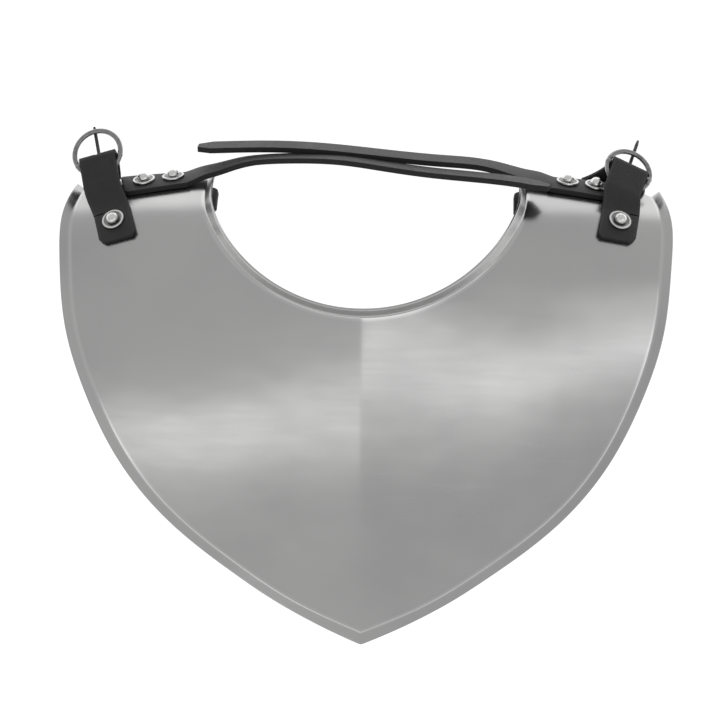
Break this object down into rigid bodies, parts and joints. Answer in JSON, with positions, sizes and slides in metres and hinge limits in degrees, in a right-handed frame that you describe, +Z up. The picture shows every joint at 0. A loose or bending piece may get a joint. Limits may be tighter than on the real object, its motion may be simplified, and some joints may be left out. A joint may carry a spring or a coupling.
{
  "type": "steel gorget",
  "caption": "Heart-shaped steel front plate of a gorget with a centre ridge and turned-out rims, leather neck straps and ring buckles on leather tabs at the shoulders.",
  "frame": {"origin": "under the middle of the part's bounding box, at the level of its lowest point", "axes": "+Z is up with the plate lying on its hollow side, +Y runs from the plate's tip to the buckles, +X is to the right in a view from above with the tip towards the viewer"},
  "size_m": [0.344, 0.2938, 0.0855],
  "materials": {
    "satin_steel": "satin, finely brushed sheet steel",
    "black_leather": "black leather with a slight sheen and dark cut edges",
    "bright_nickel": "bright nickel plate",
    "grey_nickel": "greyed nickel plate",
    "dark_steel": "dark steel wire"
  },
  "bodies": {
    "gorget": {"gorget_plate": "satin_steel", "left_buckle_tab": "black_leather", "left_neck_strap": "black_leather", "left_strap_backing": "black_leather", "left_strap_rivet_1": "bright_nickel", "left_strap_rivet_1_washer": "bright_nickel", "left_strap_rivet_2": "bright_nickel", "left_strap_rivet_2_washer": "bright_nickel", "left_tab_rivet": "bright_nickel", "left_tab_rivet_washer": "bright_nickel", "right_buckle_tab": "black_leather", "right_neck_strap": "black_leather", "right_strap_backing": "black_leather", "right_strap_rivet_1": "bright_nickel", "right_strap_rivet_1_washer": "bright_nickel", "right_strap_rivet_2": "bright_nickel", "right_strap_rivet_2_washer": "bright_nickel", "right_tab_rivet": "bright_nickel", "right_tab_rivet_washer": "bright_nickel"},
    "left_ring": {"left_buckle_ring": "grey_nickel"},
    "left_prong": {"left_prong": "dark_steel"},
    "right_ring": {"right_buckle_ring": "grey_nickel"},
    "right_prong": {"right_prong": "dark_steel"}
  },
  "joints": [
    {"name": "left_ring_swing", "type": "hinge", "parent": "gorget", "child": "left_ring", "pos_m": [-0.1523, 0.12782, 0.02127], "axis": [0.9574, 0.2691, 0.1045], "range_deg": [0, 30]},
    {"name": "left_prong_swing", "type": "hinge", "parent": "left_ring", "child": "left_prong", "pos_m": [-0.1523, 0.12782, 0.02127], "axis": [0.9574, 0.2691, 0.1045], "range_deg": [-45, 0]},
    {"name": "right_ring_swing", "type": "hinge", "parent": "gorget", "child": "right_ring", "pos_m": [0.1478, 0.12642, 0.01727], "axis": [0.9085, -0.4045, -0.1045], "range_deg": [0, 30]},
    {"name": "right_prong_swing", "type": "hinge", "parent": "right_ring", "child": "right_prong", "pos_m": [0.1478, 0.12642, 0.01727], "axis": [0.9085, -0.4045, -0.1045], "range_deg": [-45, 0]}
  ]
}
